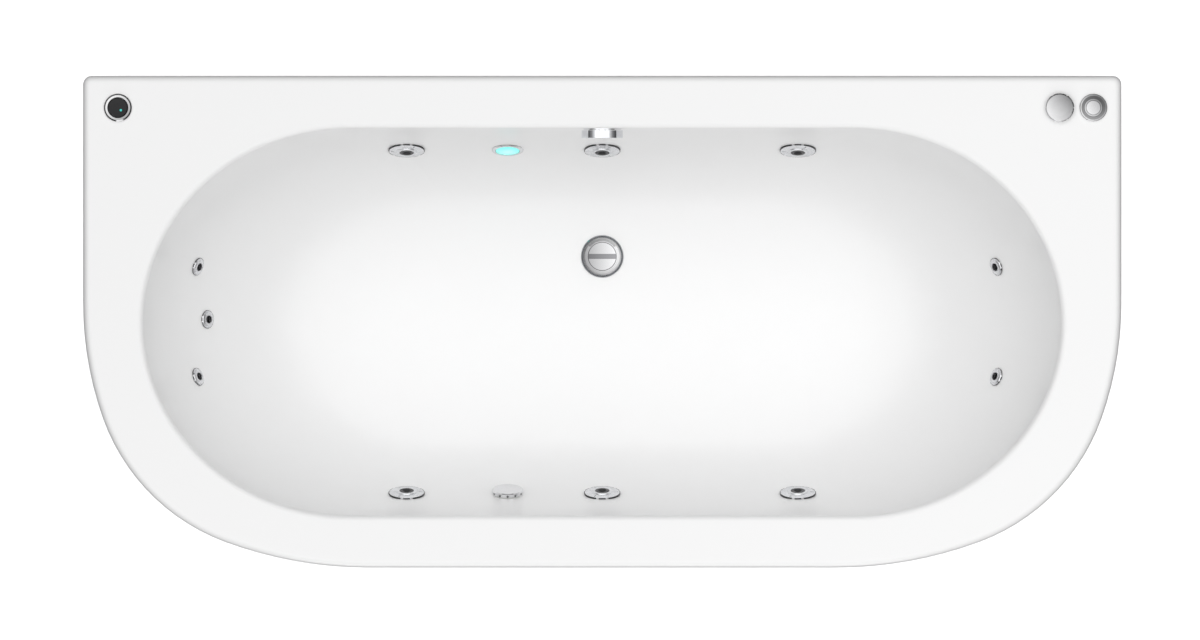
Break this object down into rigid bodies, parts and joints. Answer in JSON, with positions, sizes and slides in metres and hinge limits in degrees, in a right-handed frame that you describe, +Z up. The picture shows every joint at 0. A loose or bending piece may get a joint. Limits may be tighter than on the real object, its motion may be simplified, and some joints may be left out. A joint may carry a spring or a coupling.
{
  "type": "jetted bathtub",
  "caption": "D-shaped back-to-wall jetted bath with side jets, small end jets, underwater light, suction, pop-up waste with turning overflow, rim controls, front panel, pipework and pump.",
  "frame": {"origin": "on the floor under the middle of the rim's bounding box", "axes": "+X along the bath to the right as seen from above with the wall side at the top, +Y towards the wall, +Z up"},
  "size_m": [1.7, 0.805, 0.5826],
  "materials": {
    "acrylic": "high-gloss white acrylic, glass fibre behind",
    "panel_acrylic": "gloss white",
    "chrome": "polished",
    "black_plastic": "black, glossy",
    "grey_plastic": "dark grey, satin",
    "pipe_plastic": "white pipe plastic",
    "air_pipe_plastic": "light grey pipe plastic",
    "waste_plastic": "white waste plastic",
    "rubber": "black",
    "board": "resin-sealed chipboard",
    "galvanised": "galvanised",
    "motor_metal": "grey die-cast",
    "pump_plastic": "black moulded",
    "box_plastic": "grey moulded",
    "lens": "lit teal lens"
  },
  "bodies": {
    "bath": {"tub_shell": "acrylic", "front_panel": "panel_acrylic", "baseboard": "board", "cross_rails": "galvanised", "frame_fasteners": "galvanised", "side_jet_bodies": "pipe_plastic", "micro_jet_bodies": "grey_plastic", "jet_nuts": "pipe_plastic", "jet_seals": "rubber", "water_manifold": "pipe_plastic", "air_manifold": "air_pipe_plastic", "air_supply_pipe": "air_pipe_plastic", "suction_body": "pipe_plastic", "suction_cover": "chrome", "suction_pipe": "pipe_plastic", "pump_wet_end": "pump_plastic", "pump_motor": "motor_metal", "pump_base": "pump_plastic", "pump_pads": "rubber", "light_bezel": "chrome", "light_lens": "lens", "light_housing": "grey_plastic", "air_valve_body": "pipe_plastic", "air_switch_body": "chrome", "light_switch_body": "chrome", "deck_nuts": "pipe_plastic", "waste_flange": "chrome", "waste_body": "waste_plastic", "waste_trap": "waste_plastic", "overflow_flange": "chrome", "overflow_body": "waste_plastic", "overflow_pipe": "waste_plastic", "control_box": "box_plastic", "wall_clips": "galvanised"},
    "foot_back_left": {"foot_back_left": "pump_plastic"},
    "foot_back_right": {"foot_back_right": "pump_plastic"},
    "foot_front_left": {"foot_front_left": "pump_plastic"},
    "foot_front_right": {"foot_front_right": "pump_plastic"},
    "side_jet_ring_back_1": {"side_jet_ring_back_1": "chrome"},
    "side_jet_eyeball_back_1": {"side_jet_eyeball_back_1": "grey_plastic"},
    "side_jet_ring_back_2": {"side_jet_ring_back_2": "chrome"},
    "side_jet_eyeball_back_2": {"side_jet_eyeball_back_2": "grey_plastic"},
    "side_jet_ring_back_3": {"side_jet_ring_back_3": "chrome"},
    "side_jet_eyeball_back_3": {"side_jet_eyeball_back_3": "grey_plastic"},
    "side_jet_ring_front_1": {"side_jet_ring_front_1": "chrome"},
    "side_jet_eyeball_front_1": {"side_jet_eyeball_front_1": "grey_plastic"},
    "side_jet_ring_front_2": {"side_jet_ring_front_2": "chrome"},
    "side_jet_eyeball_front_2": {"side_jet_eyeball_front_2": "grey_plastic"},
    "side_jet_ring_front_3": {"side_jet_ring_front_3": "chrome"},
    "side_jet_eyeball_front_3": {"side_jet_eyeball_front_3": "grey_plastic"},
    "micro_jet_face_1": {"micro_jet_face_1": "chrome"},
    "micro_jet_face_2": {"micro_jet_face_2": "chrome"},
    "micro_jet_face_3": {"micro_jet_face_3": "chrome"},
    "micro_jet_face_4": {"micro_jet_face_4": "chrome"},
    "micro_jet_face_5": {"micro_jet_face_5": "chrome"},
    "air_knob": {"air_knob": "chrome"},
    "air_button": {"air_button": "chrome"},
    "light_button": {"light_button": "black_plastic"},
    "overflow_knob": {"overflow_knob": "chrome"},
    "waste_plug": {"waste_plug": "chrome"}
  },
  "joints": [
    {"name": "foot_back_left_height", "type": "slide", "parent": "bath", "child": "foot_back_left", "axis": [0, 0, -1], "range_m": [0, 0.02]},
    {"name": "foot_back_right_height", "type": "slide", "parent": "bath", "child": "foot_back_right", "axis": [0, 0, -1], "range_m": [0, 0.02]},
    {"name": "foot_front_left_height", "type": "slide", "parent": "bath", "child": "foot_front_left", "axis": [0, 0, -1], "range_m": [0, 0.02]},
    {"name": "foot_front_right_height", "type": "slide", "parent": "bath", "child": "foot_front_right", "axis": [0, 0, -1], "range_m": [0, 0.02]},
    {"name": "side_jet_turn_back_1", "type": "hinge", "parent": "bath", "child": "side_jet_ring_back_1", "pos_m": [-0.3225, 0.28396, 0.244], "axis": [0, -0.9436, 0.3311], "range_deg": [0, 90]},
    {"name": "side_jet_aim_back_1", "type": "hinge", "parent": "side_jet_ring_back_1", "child": "side_jet_eyeball_back_1", "pos_m": [-0.3225, 0.28581, 0.24335], "axis": [-1, 0, 0], "range_deg": [-12, 12]},
    {"name": "side_jet_turn_back_2", "type": "hinge", "parent": "bath", "child": "side_jet_ring_back_2", "pos_m": [0, 0.28396, 0.244], "axis": [0, -0.9436, 0.3311], "range_deg": [0, 90]},
    {"name": "side_jet_aim_back_2", "type": "hinge", "parent": "side_jet_ring_back_2", "child": "side_jet_eyeball_back_2", "pos_m": [0, 0.28581, 0.24335], "axis": [-1, 0, 0], "range_deg": [-12, 12]},
    {"name": "side_jet_turn_back_3", "type": "hinge", "parent": "bath", "child": "side_jet_ring_back_3", "pos_m": [0.3225, 0.28396, 0.244], "axis": [0, -0.9436, 0.3311], "range_deg": [0, 90]},
    {"name": "side_jet_aim_back_3", "type": "hinge", "parent": "side_jet_ring_back_3", "child": "side_jet_eyeball_back_3", "pos_m": [0.3225, 0.28581, 0.24335], "axis": [-1, 0, 0], "range_deg": [-12, 12]},
    {"name": "side_jet_turn_front_1", "type": "hinge", "parent": "bath", "child": "side_jet_ring_front_1", "pos_m": [-0.3225, -0.28396, 0.244], "axis": [0, 0.9436, 0.3311], "range_deg": [0, 90]},
    {"name": "side_jet_aim_front_1", "type": "hinge", "parent": "side_jet_ring_front_1", "child": "side_jet_eyeball_front_1", "pos_m": [-0.3225, -0.28581, 0.24335], "axis": [1, 0, 0], "range_deg": [-12, 12]},
    {"name": "side_jet_turn_front_2", "type": "hinge", "parent": "bath", "child": "side_jet_ring_front_2", "pos_m": [0, -0.28396, 0.244], "axis": [0, 0.9436, 0.3311], "range_deg": [0, 90]},
    {"name": "side_jet_aim_front_2", "type": "hinge", "parent": "side_jet_ring_front_2", "child": "side_jet_eyeball_front_2", "pos_m": [0, -0.28581, 0.24335], "axis": [1, 0, 0], "range_deg": [-12, 12]},
    {"name": "side_jet_turn_front_3", "type": "hinge", "parent": "bath", "child": "side_jet_ring_front_3", "pos_m": [0.3225, -0.28396, 0.244], "axis": [0, 0.9436, 0.3311], "range_deg": [0, 90]},
    {"name": "side_jet_aim_front_3", "type": "hinge", "parent": "side_jet_ring_front_3", "child": "side_jet_eyeball_front_3", "pos_m": [0.3225, -0.28581, 0.24335], "axis": [1, 0, 0], "range_deg": [-12, 12]},
    {"name": "micro_jet_turn_1", "type": "hinge", "parent": "bath", "child": "micro_jet_face_1", "pos_m": [-0.66663, 0.091, 0.302], "axis": [0.8203, -0.2806, 0.4984], "range_deg": [0, 90]},
    {"name": "micro_jet_turn_2", "type": "hinge", "parent": "bath", "child": "micro_jet_face_2", "pos_m": [-0.65155, 0.004, 0.258], "axis": [0.7848, -0.0117, 0.6197], "range_deg": [0, 90]},
    {"name": "micro_jet_turn_3", "type": "hinge", "parent": "bath", "child": "micro_jet_face_3", "pos_m": [-0.66663, -0.091, 0.302], "axis": [0.8203, 0.2806, 0.4984], "range_deg": [0, 90]},
    {"name": "micro_jet_turn_4", "type": "hinge", "parent": "bath", "child": "micro_jet_face_4", "pos_m": [0.65018, 0.091, 0.277], "axis": [-0.7838, -0.2738, 0.5575], "range_deg": [0, 90]},
    {"name": "micro_jet_turn_5", "type": "hinge", "parent": "bath", "child": "micro_jet_face_5", "pos_m": [0.65018, -0.091, 0.277], "axis": [-0.7838, 0.2738, 0.5575], "range_deg": [0, 90]},
    {"name": "air_knob_turn", "type": "hinge", "parent": "bath", "child": "air_knob", "pos_m": [0.749, 0.3505, 0.575], "axis": [0, 0, -1], "range_deg": [0, 180]},
    {"name": "air_button_press", "type": "slide", "parent": "bath", "child": "air_button", "axis": [0, 0, -1], "range_m": [0, 0.005], "stiffness_N_per_m": 600, "springref_m": -0.004},
    {"name": "light_button_press", "type": "slide", "parent": "bath", "child": "light_button", "axis": [0, 0, -1], "range_m": [0, 0.0015], "stiffness_N_per_m": 800, "springref_m": -0.003},
    {"name": "overflow_knob_turn", "type": "hinge", "parent": "bath", "child": "overflow_knob", "pos_m": [0, 0.3167, 0.505], "axis": [0, -1, 0], "range_deg": [0, 75]},
    {"name": "waste_plug_lift", "type": "slide", "parent": "bath", "child": "waste_plug", "axis": [0, 0, 1], "range_m": [0, 0.0121]}
  ],
  "couplings": [
    {"joint": "waste_plug_lift", "follows": "overflow_knob_turn", "m_per_rad": 0.0091673}
  ]
}
